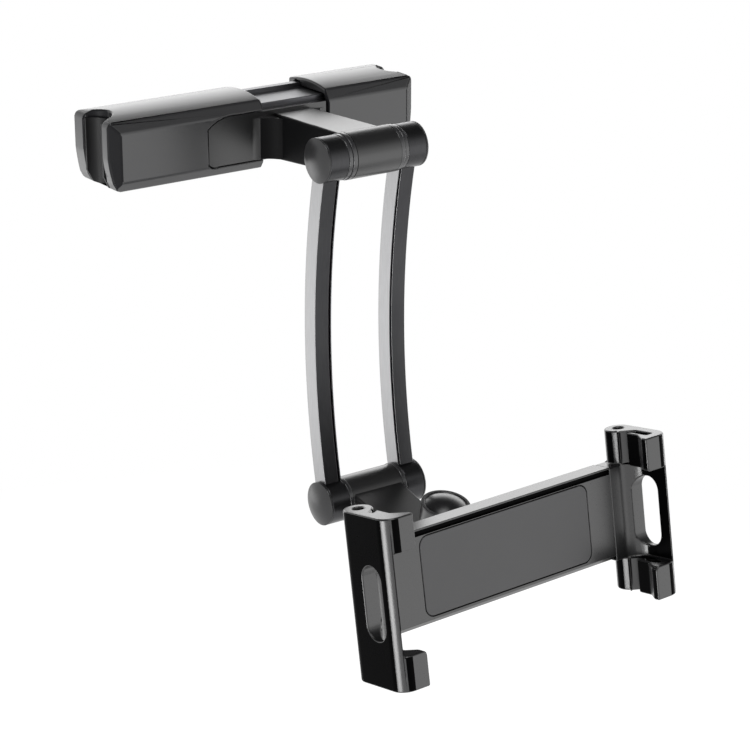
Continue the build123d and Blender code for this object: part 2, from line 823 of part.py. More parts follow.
def bracket(name, side, pad_u, channel_u, channel_bend, channel_end, channel_width):
    """One end bracket: slotted wall, hooks, round lobe, web and slide plate."""

    def at(u, y):
        """Sketch point from the distance inwards and the depth."""
        return (side * (cradle_width / 2 - u), y)

    corner_mid = bracket_corner * arc_share
    blend_mid = web_blend * arc_share
    bite_mid = hook_corner * arc_share
    with BuildPart() as piece:
        for low, high in ((-bracket_half, lower_hook_high), (upper_hook_low, bracket_half)):
            with BuildSketch(on(cradle_frame, Plane.XY.offset(low))):
                with BuildLine():
                    outer = Line(at(0, lobe_y), at(0, bracket_front + bracket_corner))
                    corner_point = at(corner_mid, bracket_front + corner_mid)
                    corner = ThreePointArc(outer @ 1, corner_point, at(bracket_corner, bracket_front))
                    front = Line(corner @ 1, at(lip_end_u, bracket_front))
                    lip = Line(front @ 1, at(lip_end_u, bracket_front + lip_thick))
                    lip_back = Line(lip @ 1, at(pad_u, bracket_front + lip_thick + lip_slope))
                    inner = Line(lip_back @ 1, at(pad_u, lobe_y))
                    Line(inner @ 1, outer @ 0)
                make_face()
                with Locations(at(lobe_u, lobe_y)):
                    Circle(lobe_r)
                with BuildLine():
                    Polyline(
                        at(pad_u + overcut, channel_mouth),
                        at(channel_u, channel_bend),
                        at(channel_u, channel_end),
                    )
                trace(line_width=channel_width, mode=Mode.SUBTRACT)
            extrude(amount=high - low)
        with BuildSketch(on(cradle_frame, Plane.XY.offset(lower_hook_high))):
            with BuildLine():
                wall_out = Line(at(0, lobe_y), at(0, bracket_front + bracket_corner))
                wall_end = at(wall_thick, bracket_front + cut_depth)
                corner_point = at(corner_mid, bracket_front + corner_mid)
                wall_round = ThreePointArc(wall_out @ 1, corner_point, wall_end)
                wall_in = Line(wall_round @ 1, at(wall_thick, body_front - web_blend))
                blend = ThreePointArc(
                    wall_in @ 1,
                    at(wall_thick + blend_mid, body_front - blend_mid),
                    at(wall_thick + web_blend, body_front),
                )
                web = Line(blend @ 1, at(body_inset - seat_gap, body_front))
                web_end = Line(web @ 1, at(body_inset - seat_gap, body_back))
                web_back = Line(web_end @ 1, at(lobe_u, body_back))
                Line(web_back @ 1, wall_out @ 0)
            make_face()
            with Locations(at(lobe_u, lobe_y)):
                Circle(lobe_r)
            with BuildLine():
                edge = ThreePointArc(
                    at(wall_thick, body_front - web_blend),
                    at(wall_thick + blend_mid, body_front - blend_mid),
                    at(wall_thick + web_blend, body_front),
                )
                beyond = Line(edge @ 1, at(wall_thick + web_blend, body_front - web_blend))
                Line(beyond @ 1, edge @ 0)
            make_face(mode=Mode.SUBTRACT)
        extrude(amount=upper_hook_low - lower_hook_high)
        low, high = plate_ranges[side]
        with BuildSketch(across(cradle_frame, side * (cradle_width / 2 - body_inset + overcut))):
            with Locations(((slide_plate_front + slide_plate_back) / 2, (low + high) / 2)):
                Rectangle(slide_plate_back - slide_plate_front, high - low)
        extrude(amount=-side * (slide_plate_reach + overcut))
        with BuildSketch(across(cradle_frame, side * (cradle_width / 2 + overcut))):
            with Locations((slot_y, slot_z)):
                SlotOverall(slot_height, slot_width, rotation=90)
        extrude(amount=-side * (slot_reach + overcut), mode=Mode.SUBTRACT)
        for end, direction in ((bracket_half, 1), (-bracket_half, -1)):
            with BuildSketch(on(cradle_frame, Plane.XY.offset(end + direction * overcut))):
                with Locations(at(lobe_u, lobe_y)):
                    Circle(lobe_hole_r)
            extrude(amount=-direction * (lobe_hole_depth + overcut), mode=Mode.SUBTRACT)
        for tip, root, direction in (
            (upper_hook_low, upper_hook_low + hook_corner, 1),
            (lower_hook_high, lower_hook_high - hook_corner, -1),
        ):
            with BuildSketch(on(cradle_frame, Plane.XZ.offset(-bracket_front + overcut))):
                with BuildLine():
                    bite = ThreePointArc(
                        at(lip_end_u - hook_corner, tip),
                        at(lip_end_u - bite_mid, tip + direction * bite_mid),
                        at(lip_end_u, root),
                    )
                    outside = Line(bite @ 1, at(lip_end_u + overcut, root))
                    below = Line(outside @ 1, at(lip_end_u + overcut, tip - direction * overcut))
                    back_in = Line(below @ 1, at(lip_end_u - hook_corner, tip - direction * overcut))
                    Line(back_in @ 1, bite @ 0)
                make_face()
            extrude(amount=-(lip_thick + lip_slope + overcut), mode=Mode.SUBTRACT)
    finish(piece, name)


bracket(
    "left_bracket",
    -1,
    left_pad_u,
    left_channel_u,
    left_channel_bend,
    left_channel_end,
    left_channel_width,
)
bracket(
    "right_bracket",
    1,
    right_pad_u,
    right_channel_u,
    right_channel_bend,
    right_channel_end,
    right_channel_width,
)
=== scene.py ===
import json
import logging
import math
from collections.abc import Callable, Sequence
from dataclasses import dataclass, field
from enum import Enum

import bmesh
import bpy
from mathutils import Matrix, Vector


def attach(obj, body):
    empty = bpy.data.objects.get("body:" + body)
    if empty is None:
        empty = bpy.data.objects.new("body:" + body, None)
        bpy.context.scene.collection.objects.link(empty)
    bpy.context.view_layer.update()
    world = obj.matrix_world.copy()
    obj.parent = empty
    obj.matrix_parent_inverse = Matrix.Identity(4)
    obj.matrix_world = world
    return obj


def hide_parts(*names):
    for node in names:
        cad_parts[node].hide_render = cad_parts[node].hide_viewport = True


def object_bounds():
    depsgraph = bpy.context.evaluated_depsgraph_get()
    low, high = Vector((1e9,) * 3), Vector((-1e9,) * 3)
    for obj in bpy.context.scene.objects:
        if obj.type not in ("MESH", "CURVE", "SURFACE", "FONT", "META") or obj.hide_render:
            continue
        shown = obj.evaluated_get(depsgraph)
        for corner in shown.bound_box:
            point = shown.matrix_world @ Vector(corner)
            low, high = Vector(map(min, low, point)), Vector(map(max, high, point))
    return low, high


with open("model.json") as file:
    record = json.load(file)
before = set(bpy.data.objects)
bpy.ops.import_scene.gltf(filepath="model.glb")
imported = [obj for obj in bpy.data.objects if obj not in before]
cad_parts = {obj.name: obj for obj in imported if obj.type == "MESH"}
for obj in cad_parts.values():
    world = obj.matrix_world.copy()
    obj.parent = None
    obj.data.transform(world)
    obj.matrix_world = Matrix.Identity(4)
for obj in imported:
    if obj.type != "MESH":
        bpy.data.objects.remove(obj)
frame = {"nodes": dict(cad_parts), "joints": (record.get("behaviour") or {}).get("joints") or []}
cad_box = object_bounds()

log = logging.getLogger("tablet_mount")
MM = 0.001
JOINTS = {joint["name"]: joint for joint in frame["joints"]}

# Points as distance along an axis and radius, in mm
Outline = list[tuple[float, float]]
# A point of a cutting plane in mm and its outward normal
Cut = tuple[Vector, Vector]
# Whether a face with this centre and normal belongs to a zone
Zone = Callable[[Vector, Vector], bool]
Socket = bpy.types.NodeSocket

# CAD corners nearer than this are one point, facets that turn less than this are one face
MERGE_MM = 0.002
FACET_TURN = 0.4
# Edges that turn more than this many degrees are rounded, with this many faces across
EDGE_TURN = 28.0
EDGE_STEPS = 4
# How strongly large faces keep their own normals beside rounded edges
FACE_WEIGHT = 60
# Faces round a turned piece, and the radius below which an outline's point is its pole
TURN_STEPS = 96
POLE_RADIUS = 1e-6
# Corners of an outline that turn more than this are rounded, over this share of a side at most
CORNER_TURN = 20.0
CORNER_SHARE = 0.45

# Size and octaves of a finish's cloudy change of tone
CLOUD_MM = 16.0
CLOUD_OCTAVES = 2.0
NOISE_SHARPNESS = 0.5
# How much the fine grain changes colour and roughness, and the part of its range that counts
FLECK = 0.06
FLECK_SPAN = (0.3, 0.7)
GLOSS_SPREAD = 0.04
GLOSS_SPAN = (0.25, 0.75)
# How squarely a face looks along X as it goes over to a finish's lighter flat colour, a painted
# sheen
FLAT_SHEEN_SPAN = (0.75, 0.9)
# Painted edge highlights: width, colour, cosines of the turn where they start and are full, and
# samples
EDGE_HIGHLIGHT_MM = 0.7
EDGE_HIGHLIGHT_COLOUR = "#8c8c8e"
EDGE_HIGHLIGHT_SPAN = (0.99, 0.8)
EDGE_HIGHLIGHT_SAMPLES = 4


# Small tools for colours and node trees


def linear(hex_colour: str) -> tuple[float, float, float, float]:
    """Turn an sRGB hex colour to linear light.

    Args:
        hex_colour: Six digits with a leading hash.

    Returns:
        Linear red, green, blue and an alpha of 1.
    """
    channels = [int(hex_colour[i : i + 2], 16) / 255 for i in (1, 3, 5)]
    red, green, blue = (
        c / 12.92 if c <= 0.04045 else ((c + 0.055) / 1.055) ** 2.4 for c in channels
    )
    return red, green, blue, 1.0


def empty_tree(owner: bpy.types.Material | bpy.types.World) -> bpy.types.NodeTree:
    """Switch on the node tree of a material or a world and empty it.

    Args:
        owner: The material or world.

    Returns:
        Its empty tree.
    """
    owner.use_nodes = True
    owner.node_tree.nodes.clear()
    return owner.node_tree


def add_node(
    tree: bpy.types.NodeTree, kind: str, inputs: dict | None = None, **settings: object
) -> bpy.types.Node:
    """Add a node with its settings, values and links.

    Args:
        tree: The tree it goes into.
        kind: The node's type name.
        inputs: Socket name or index to a value, or to an output socket to link from.
        settings: Attributes of the node, set before its inputs.

    Returns:
        The new node.
    """
    node = tree.nodes.new(kind)
    for attribute, value in settings.items():
        setattr(node, attribute, value)
    for socket, value in (inputs or {}).items():
        if isinstance(value, Socket):
            tree.links.new(value, node.inputs[socket])
        else:
            node.inputs[socket].default_value = value
    return node


def calc(tree: bpy.types.NodeTree, how: str, first: object, second: object = 0.0) -> Socket:
    """Work out one number in a node tree.

    Args:
        tree: The tree.
        how: The operation's name.
        first: A value or a socket.
        second: A value or a socket, unused by operations on one number.

    Returns:
        The result's socket.
    """
    return add_node(tree, "ShaderNodeMath", {0: first, 1: second}, operation=how).outputs[0]


def ramp(
    tree: bpy.types.NodeTree,
    value: Socket,
    span: tuple[float, float],
    to: tuple[float, float] = (0.0, 1.0),
    how: str = "LINEAR",
) -> Socket:
    """Map a value from one span to another, and hold it at the ends.

    Args:
        tree: The tree.
        value: The value's socket.
        span: Where the value starts and ends.
        to: What the start and the end become.
        how: The curve between them.

    Returns:
        The result's socket.
    """
    inputs = {
        "Value": value, "From Min": span[0], "From Max": span[1], "To Min": to[0], "To Max": to[1],
    }
    return add_node(tree, "ShaderNodeMapRange", inputs, interpolation_type=how).outputs[0]


def blend(tree: bpy.types.NodeTree, share: Socket, first: object, second: object) -> Socket:
    """Mix two colours.

    Args:
        tree: The tree.
        share: How much of the second colour there is.
        first: A colour or its socket.
        second: A colour or its socket.

    Returns:
        The mixed colour's socket.
    """
    inputs = {0: share, 6: first, 7: second}
    return add_node(tree, "ShaderNodeMix", inputs, data_type="RGBA").outputs[2]


def noise(
    tree: bpy.types.NodeTree, place: Socket, size_mm: float, octaves: float, sharpness: float
) -> Socket:
    """Draw a noise pattern of a real size.

    Args:
        tree: The tree.
        place: Socket of the coordinates, in metres.
        size_mm: Size of the pattern.
        octaves: How many finer layers it has.
        sharpness: How strong the finer layers are.

    Returns:
        The pattern's socket.
    """
    inputs = {
        "Vector": place, "Scale": 1 / (size_mm * MM), "Detail": octaves, "Roughness": sharpness,
    }
    return add_node(tree, "ShaderNodeTexNoise", inputs).outputs[0]


# Small tools for meshes


def new_piece(name: str, mesh: bpy.types.Mesh) -> bpy.types.Object:
    """Put a mesh in the scene as an object at the origin.

    Args:
        name: Name of the object and the mesh.
        mesh: The mesh.

    Returns:
        The object.
    """
    mesh.name = name
    piece = bpy.data.objects.new(name, mesh)
    bpy.context.scene.collection.objects.link(piece)
    return piece


def shell_from_cad(node: str, name: str) -> bpy.types.Object:
    """Copy a CAD node as one merged shell with its flat faces whole.

    Args:
        node: The CAD node to copy.
        name: The new piece's name.

    Returns:
        The new piece.
    """
    shell = bmesh.new()
    shell.from_mesh(frame["nodes"][node].data)
    bmesh.ops.remove_doubles(shell, verts=shell.verts, dist=MERGE_MM * MM)
    bmesh.ops.dissolve_limit(
        shell,
        angle_limit=math.radians(FACET_TURN),
        verts=shell.verts,
        edges=shell.edges,
        delimit=set(),
    )
    mesh = bpy.data.meshes.new(name)
    shell.to_mesh(mesh)
    shell.free()
    mesh.materials.clear()
    return new_piece(name, mesh)


def settle(piece: bpy.types.Object) -> None:
    """Turn a piece's modifiers into plain mesh.

    Args:
        piece: The piece, changed in place.
    """
    graph = bpy.context.evaluated_depsgraph_get()
    mesh = bpy.data.meshes.new_from_object(piece.evaluated_get(graph), depsgraph=graph)
    piece.modifiers.clear()
    piece.data = mesh
    mesh.name = piece.name


def even_normals(piece: bpy.types.Object) -> None:
    """Keep flat faces flat to the eye beside their rounded edges, and settle the piece.

    Args:
        piece: The piece, changed in place.
    """
    normals = piece.modifiers.new("normals", "WEIGHTED_NORMAL")
    normals.keep_sharp = True
    normals.weight = FACE_WEIGHT
    settle(piece)


def soften(piece: bpy.types.Object, edge_mm: float, clamp: bool) -> None:
    """Round a piece's edges as moulding and tumbling leave them.

    Args:
        piece: The piece, changed in place.
        edge_mm: Width of the rounded edges.
        clamp: Whether all widths shrink until the narrowest face has room for them.
    """
    for face in piece.data.polygons:
        face.use_smooth = True
    bevel = piece.modifiers.new("edges", "BEVEL")
    bevel.width = edge_mm * MM
    bevel.segments = EDGE_STEPS
    bevel.limit_method = "ANGLE"
    bevel.angle_limit = math.radians(EDGE_TURN)
    bevel.use_clamp_overlap = clamp
    bevel.miter_outer = "MITER_ARC"
    even_normals(piece)


def plane_off(piece: bpy.types.Object, cuts: Sequence[Cut]) -> None:
    """Plane corners off a closed shell.

    Args:
        piece: The piece, changed in place.
        cuts: The cutting planes.
    """
    shell = bmesh.new()
    shell.from_mesh(piece.data)
    for point, normal in cuts:
        result = bmesh.ops.bisect_plane(
            shell,
            geom=[*shell.verts, *shell.edges, *shell.faces],
            plane_co=point * MM,
            plane_no=normal,
            clear_outer=True,
        )
        rim = [item for item in result["geom_cut"] if isinstance(item, bmesh.types.BMEdge)]
        bmesh.ops.holes_fill(shell, edges=rim)
    bmesh.ops.recalc_face_normals(shell, faces=shell.faces)
    shell.to_mesh(piece.data)
    shell.free()


def turned(name: str, outline: Outline, centre: Vector, axis: Vector) -> bpy.types.Object:
    """Turn an outline about an axis into a closed shell.

    Args:
        name: The new piece's name.
        outline: The outline, either closed or from pole to pole.
        centre: Point on the axis that distances start from, in metres.
        axis: Direction of the axis.

    Returns:
        The new piece.
    """
    axis = axis.normalized()
    across = axis.orthogonal().normalized()
    shell = bmesh.new()
    rings = []
    for along, radius in outline:
        ring = []
        for i in range(1 if radius < POLE_RADIUS else TURN_STEPS):
            spoke = Matrix.Rotation(2 * math.pi * i / TURN_STEPS, 3, axis) @ across
            ring.append(shell.verts.new(centre + (axis * along + spoke * radius) * MM))
        rings.append(ring)
    closed = len(rings[0]) > 1
    for near, far in zip(rings, rings[1:] + (rings[:1] if closed else [])):
        for i in range(TURN_STEPS):
            j = i + 1
            corners = [
                near[i % len(near)], near[j % len(near)], far[j % len(far)], far[i % len(far)],
            ]
            shell.faces.new(list(dict.fromkeys(corners)))
    bmesh.ops.recalc_face_normals(shell, faces=shell.faces)
    for face in shell.faces:
        face.smooth = True
    mesh = bpy.data.meshes.new(name)
    shell.to_mesh(mesh)
    shell.free()
    piece = new_piece(name, mesh)
    even_normals(piece)
    return piece


def rounded(outline: Outline, radius: float, steps: int) -> Outline:
    """Round the corners of an outline that are off the axis.

    Args:
        outline: The outline.
        radius: Corner radius, in mm.
        steps: Points added across a corner, less one.

    Returns:
        The outline with its corners rounded.
    """
    points = [Vector(p) for p in outline]
    closed = points[0].y > POLE_RADIUS
    result = []
    for i, point in enumerate(points):
        back = points[i - 1] - point
        ahead = points[(i + 1) % len(points)] - point
        turn = back.angle(ahead)
        at_pole = not closed and i in (0, len(points) - 1)
        if at_pole or math.degrees(math.pi - turn) < CORNER_TURN:
            result.append(tuple(point))
            continue
        reach = min(
            radius / math.tan(turn / 2), back.length * CORNER_SHARE, ahead.length * CORNER_SHARE
        )
        start = point + back.normalized() * reach
        end = point + ahead.normalized() * reach
        for k in range(steps + 1):
            t = k / steps
            result.append(tuple((1 - t) ** 2 * start + 2 * t * (1 - t) * point + t * t * end))
    return result


def dome(along: float, radius: float, rise: float, steps: int) -> Outline:
    """Draw the outline of a spherical dome from its rim to its pole.

    Args:
        along: Where the rim is along the axis, in mm.
        radius: Rim radius.
        rise: Height over the rim.
        steps: Points along the outline.

    Returns:
        The dome's outline.
    """
    sphere = (radius**2 + rise**2) / (2 * rise)
    points = []
    for i in range(steps):
        r = radius * math.cos(math.pi / 2 * i / steps)
        points.append((along + math.sqrt(sphere**2 - r**2) - sphere + rise, r))
    points.append((along + rise, 0.0))
    return points


def join(name: str, pieces: Sequence[bpy.types.Object]) -> bpy.types.Object:
    """Gather several pieces' meshes in one new piece and drop the old ones.

    Args:
        name: The new piece's name.
        pieces: The pieces to gather.

    Returns:
        The new piece.
    """
    whole = bmesh.new()
    for piece in pieces:
        whole.from_mesh(piece.data)
        bpy.data.objects.remove(piece)
    for face in whole.faces:
        face.smooth = True
    mesh = bpy.data.meshes.new(name)
    whole.to_mesh(mesh)
    whole.free()
    return new_piece(name, mesh)


# Finishes


class Grain(Enum):
    """How a surface was made, as octaves and sharpness of its fine pattern."""

    MOULDED = (4.0, 0.62)
    BRUSHED = (2.0, 0.5)
    TURNED = (1.0, 0.45)
    SMOOTH = (1.0, 0.35)


@dataclass(frozen=True)
class Finish:
    """One finish: what the surface is made of and how it was made.

    Colours are sRGB hex values. The grain's size and depth are in mm, and its lines run along
    the axes where stretch is small. flat_sheen_colour is a painted sheen: the lighter colour of the
    faces that look along X, where those differ. rubbed paints highlights on the rounded edges
    by lightening their colour.
    """

    name: str
    slot: str
    colour: str
    shade: str
    roughness: float
    grain: Grain
    grain_mm: float
    depth_mm: float
    metallic: float = 0.0
    specular: float = 0.5
    stretch: tuple[float, float, float] = (1.0, 1.0, 1.0)
    flat_sheen_colour: str = ""
    edge_highlight: float = 0.0

    def material(self) -> bpy.types.Material:
        """Build the material once and return it.

        Returns:
            The node-based material.
        """
        known = bpy.data.materials.get(self.name)
        if known:
            return known
        material = bpy.data.materials.new(self.name)
        tree = empty_tree(material)
        octaves, sharpness = self.grain.value
        place = add_node(tree, "ShaderNodeTexCoord").outputs
        cloud = noise(tree, place["Object"], CLOUD_MM, CLOUD_OCTAVES, NOISE_SHARPNESS)
        drawn = add_node(
            tree,
            "ShaderNodeVectorMath",
            {0: place["Object"], 1: self.stretch},
            operation="MULTIPLY",
        )
        fine = noise(tree, drawn.outputs[0], self.grain_mm, octaves, sharpness)
        colour = blend(tree, cloud, linear(self.shade), linear(self.colour))
        # Painted sheen: the faces that look along X take a lighter colour
        if self.flat_sheen_colour:
            colour = self._painted_flat_sheen(tree, place["Normal"], colour)
        # Painted highlight: the rounded edges take a lighter colour
        if self.edge_highlight:
            colour = self._painted_edge_highlight(tree, colour)
        fleck = ramp(tree, fine, FLECK_SPAN, (1 - FLECK, 1 + FLECK))
        flecked = add_node(
            tree, "ShaderNodeVectorMath", {0: colour, "Scale": fleck}, operation="SCALE"
        )
        duller, glossier = self.roughness * (1 + GLOSS_SPREAD), self.roughness * (1 - GLOSS_SPREAD)
        bump = add_node(
            tree,
            "ShaderNodeBump",
            {"Height": fine, "Strength": 1.0, "Distance": self.depth_mm * MM},
        )
        shader = add_node(
            tree,
            "ShaderNodeBsdfPrincipled",
            {
                "Base Color": flecked.outputs[0],
                "Roughness": ramp(tree, fine, GLOSS_SPAN, (glossier, duller)),
                "Normal": bump.outputs[0],
                "Metallic": self.metallic,
                "Specular IOR Level": self.specular,
            },
        )
        add_node(tree, "ShaderNodeOutputMaterial", {"Surface": shader.outputs[0]})
        return material

    def _painted_flat_sheen(self, tree: bpy.types.NodeTree, normal: Socket, colour: Socket) -> Socket:
        """Give the faces that look along X their own colour, as a painted sheen.

        Args:
            tree: The material's tree.
            normal: Socket of the object's normal.
            colour: Socket of the colour elsewhere.

        Returns:
            The mixed colour's socket.
        """
        parts = add_node(tree, "ShaderNodeSeparateXYZ", {0: normal})
        squareness = calc(tree, "ABSOLUTE", parts.outputs[0])
        mask = ramp(tree, squareness, FLAT_SHEEN_SPAN)
        return blend(tree, mask, colour, linear(self.flat_sheen_colour))

    def _painted_edge_highlight(self, tree: bpy.types.NodeTree, colour: Socket) -> Socket:
        """Paint a highlight: lighten the colour where a rounded edge turns away from its faces.

        Args:
            tree: The material's tree.
            colour: Socket of the colour elsewhere.

        Returns:
            The mixed colour's socket.
        """
        edge = add_node(
            tree, "ShaderNodeBevel", {"Radius": EDGE_HIGHLIGHT_MM * MM}, samples=EDGE_HIGHLIGHT_SAMPLES
        )
        face = add_node(tree, "ShaderNodeNewGeometry")
        match = add_node(
            tree,
            "ShaderNodeVectorMath",
            {0: edge.outputs[0], 1: face.outputs["True Normal"]},
            operation="DOT_PRODUCT",
        )
        mask = ramp(tree, match.outputs["Value"], EDGE_HIGHLIGHT_SPAN, (0.0, self.edge_highlight))
        return blend(tree, mask, colour, linear(EDGE_HIGHLIGHT_COLOUR))


# Moulded ABS with a fine spark-eroded grain: near-black with a soft grey sheen, and a painted
# highlight on its rounded edges
HOUSING = Finish(
    "moulded_abs_housing", "housing_plastic", "#202022", "#1b1b1d", 0.32,
    Grain.MOULDED, 0.5, 0.001, specular=1.0, edge_highlight=0.1,
)
# A shaded copy of the same ABS on the bevels at the housings' ends: its low specular keeps them
# dark beside the lit faces, as painted shade
HOUSING_SHADED_BEVEL = Finish(
    "moulded_abs_housing_shaded_bevel", "housing_plastic", "#202022", "#1b1b1d", 0.45,
    Grain.MOULDED, 0.5, 0.001, specular=0.12,
)
# Silicone rubber: black and dull, and the post grooves look deep
LINER = Finish(
    "moulded_silicone_liner", "liner_rubber", "#131314", "#0d0d0e", 0.5,
    Grain.MOULDED, 0.6, 0.01, specular=0.3,
)
# Extruded aluminium, black anodised: fine lines along the rail
RAIL = Finish(
    "anodised_rail", "black_aluminium", "#6a6a6d", "#5e5e61", 0.36,
    Grain.BRUSHED, 0.35, 0.004, metallic=1.0, stretch=(0.04, 1.0, 1.0),
)
# Aluminium bar, black anodised and brushed; its flat sides get a lighter colour as a painted sheen,
# so they stand out lighter than the edges
LINK = Finish(
    "anodised_link", "black_aluminium", "#484849", "#404042", 0.3,
    Grain.BRUSHED, 0.4, 0.003, metallic=1.0, stretch=(1.0, 0.5, 0.05), flat_sheen_colour="#949495",
)
# Glass-filled nylon: dark, with a clear soft sheen on round parts
NYLON = Finish(
    "glass_filled_nylon", "arm_plastic", "#141415", "#101011", 0.3,
    Grain.MOULDED, 0.8, 0.0007, specular=1.0,
)
# A shaded copy of the same nylon on the arm's flanks: darker and duller, as painted shade
NYLON_SHADED_FLANK = Finish(
    "glass_filled_nylon_shaded_flank", "arm_plastic", "#101011", "#0c0c0d", 0.5,
    Grain.MOULDED, 0.8, 0.002, specular=0.06,
)
# Polished ABS: smooth and softly lit, almost no texture
CAP = Finish(
    "polished_abs_cap", "cap_plastic", "#1e1e20", "#1a1a1b", 0.3,
    Grain.SMOOTH, 0.6, 0.0003, specular=0.6,
)
# Turned acetal: fine tool lines round the rim
WASHER = Finish(
    "turned_acetal_washer", "washer_nylon", "#303032", "#28282a", 0.24,
    Grain.TURNED, 0.3, 0.0015, specular=1.0, stretch=(1.0, 0.02, 0.02),
)
# Turned steel, blackened: dark metal with a clear highlight
STEEL = Finish(
    "blackened_steel", "steel", "#5a5a5c", "#4a4a4c", 0.32,
    Grain.TURNED, 0.5, 0.003, metallic=1.0,
)
# Satin ABS: near-black with a sheen that shows the room as mid grey
CRADLE = Finish(
    "satin_abs_cradle", "cradle_plastic", "#1a1a1b", "#161617", 0.28,
    Grain.MOULDED, 0.5, 0.0003, specular=1.0,
)
# Painted shade: near-black with almost no reflection, put on the end brackets' flat sides, on their
# front strip and in the plate's groove so they stay dark
PAINTED_SHADE = Finish(
    "painted_shade_black", "cradle_plastic", "#070708", "#050505", 0.24,
    Grain.SMOOTH, 2.4, 0.0005, specular=0.015,
)
# Spark-eroded ABS panel: mid grey, matt, with a fine even grain
PANEL = Finish(
    "sparked_abs_panel", "panel_plastic", "#2e2e30", "#28282a", 0.42,
    Grain.MOULDED, 0.45, 0.003, specular=0.9,
)


def dress(piece: bpy.types.Object, finish: Finish, body: str, *nodes: str) -> None:
    """Give a finished piece its material and its place in the model.

    Args:
        piece: The piece.
        finish: Its finish.
        body: The CAD body it moves with.
        nodes: CAD nodes that it stands for.
    """
    piece.data.materials.clear()
    piece.data.materials.append(finish.material())
    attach(piece, body)
    if nodes:
        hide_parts(*nodes)
    log.info("%s rides on %s, %d faces", piece.name, body, len(piece.data.polygons))


def repaint(node: str, finish: Finish) -> None:
    """Give a CAD node that keeps its shape a finish.

    Args:
        node: The CAD node.
        finish: Its finish.
    """
    piece = frame["nodes"][node]
    piece.data.materials.clear()
    piece.data.materials.append(finish.material())
    log.info("%s keeps its shape", node)


def softened_copy(
    node: str,
    name: str,
    finish: Finish,
    body: str,
    edge_mm: float,
    clamp: bool = True,
    cuts: Sequence[Cut] = (),
) -> bpy.types.Object:
    """Replace a CAD node by a copy with rounded edges.

    Args:
        node: The CAD node.
        name: The copy's name.
        finish: Its finish.
        body: The CAD body it moves with.
        edge_mm: Width of the rounded edges.
        clamp: As soften takes it.
        cuts: Corners planed off first.

    Returns:
        The dressed copy.
    """
    piece = shell_from_cad(node, name)
    if cuts:
        plane_off(piece, cuts)
    soften(piece, edge_mm, clamp)
    dress(piece, finish, body, node)
    return piece


def dress_zone(piece: bpy.types.Object, finish: Finish, inside: Zone) -> None:
    """Give some faces of a dressed piece a second finish.

    Args:
        piece: The piece.
        finish: The second finish.
        inside: Which faces take it.
    """
    piece.data.materials.append(finish.material())
    second = len(piece.data.materials) - 1
    for face in piece.data.polygons:
        if inside(face.center, face.normal):
            face.material_index = second


class Side(Enum):
    """The two sides of the mount, by their sign along X."""

    LEFT = -1
    RIGHT = 1

    @property
    def word(self) -> str:
        """The side's name, as nodes and pieces use it."""
        return self.name.lower()

    @property
    def outward(self) -> Vector:
        """Direction away from the middle on this side."""
        return Vector((self.value, 0, 0))


class Hinge(Enum):
    """The two hinges of the links, by the joint that turns about each."""

    UPPER = "arm_hinge"
    LOWER = "tongue_hinge"

    @property
    def centre(self) -> Vector:
        """Middle of the hinge, in metres."""
        return Vector(JOINTS[self.value]["pos_m"])


@dataclass
class Recipe:
    """A Geometry Nodes tree under construction, with named inputs in metres."""

    name: str
    tree: bpy.types.NodeTree = field(init=False)
    entry: bpy.types.Node = field(init=False)

    def __post_init__(self) -> None:
        """Start the tree with its output socket."""
        self.tree = bpy.data.node_groups.new(self.name, "GeometryNodeTree")
        self.tree.interface.new_socket(
            "Geometry", in_out="OUTPUT", socket_type="NodeSocketGeometry"
        )
        self.entry = self.tree.nodes.new("NodeGroupInput")

    def size(self, label: str, kind: str = "NodeSocketFloat") -> Socket:
        """Add a named input.

        Args:
            label: Its name.
            kind: Its socket type.

        Returns:
            Its socket inside the tree.
        """
        self.tree.interface.new_socket(label, in_out="INPUT", socket_type=kind)
        return self.entry.outputs[label]

    def node(self, kind: str, inputs: dict | None = None, **settings: object) -> Socket:
        """Add a node to the tree.

        Args:
            kind: The node's type name.
            inputs: As add_node takes them.
            settings: Attributes of the node.

        Returns:
            The node's first output.
        """
        return add_node(self.tree, kind, inputs, **settings).outputs[0]

    def calc(self, how: str, first: object, second: object) -> Socket:
        """Work out one number from two.

        Args:
            how: The operation's name.
            first: A value or a socket.
            second: A value or a socket.

        Returns:
            The result's socket.
        """
        return calc(self.tree, how, first, second)

    def finish(self, shapes: Sequence[Socket], finish: Finish) -> None:
        """End the tree: join the shapes, realize them and set their material.

        Args:
            shapes: The shapes' sockets.
            finish: Their finish.
        """
        together = add_node(self.tree, "GeometryNodeJoinGeometry")
        for shape in shapes:
            self.tree.links.new(shape, together.inputs[0])
        real = self.node("GeometryNodeRealizeInstances", {0: together.outputs[0]})
        smooth = self.node("GeometryNodeSetShadeSmooth", {0: real, "Shade Smooth": True})
        dressed = self.node("GeometryNodeSetMaterial", {0: smooth, "Material": finish.material()})
        leave = self.tree.nodes.new("NodeGroupOutput")
        self.tree.links.new(dressed, leave.inputs[0])

    def make(self, name: str, values: dict[str, object]) -> bpy.types.Object:
        """Run the tree with its inputs set and keep the result as plain mesh.

        Args:
            name: The new piece's name.
            values: Input label to value.

        Returns:
            The new piece.
        """
        piece = new_piece(name, bpy.data.meshes.new(name))
        modifier = piece.modifiers.new(self.name, "NODES")
        modifier.node_group = self.tree
        for item in self.tree.interface.items_tree:
            if item.in_out == "INPUT":
                modifier[item.identifier] = values[item.name]
        even_normals(piece)
        return piece


# Sub-assemblies, with sizes in mm. Turned pieces are measured from the middle of their joint


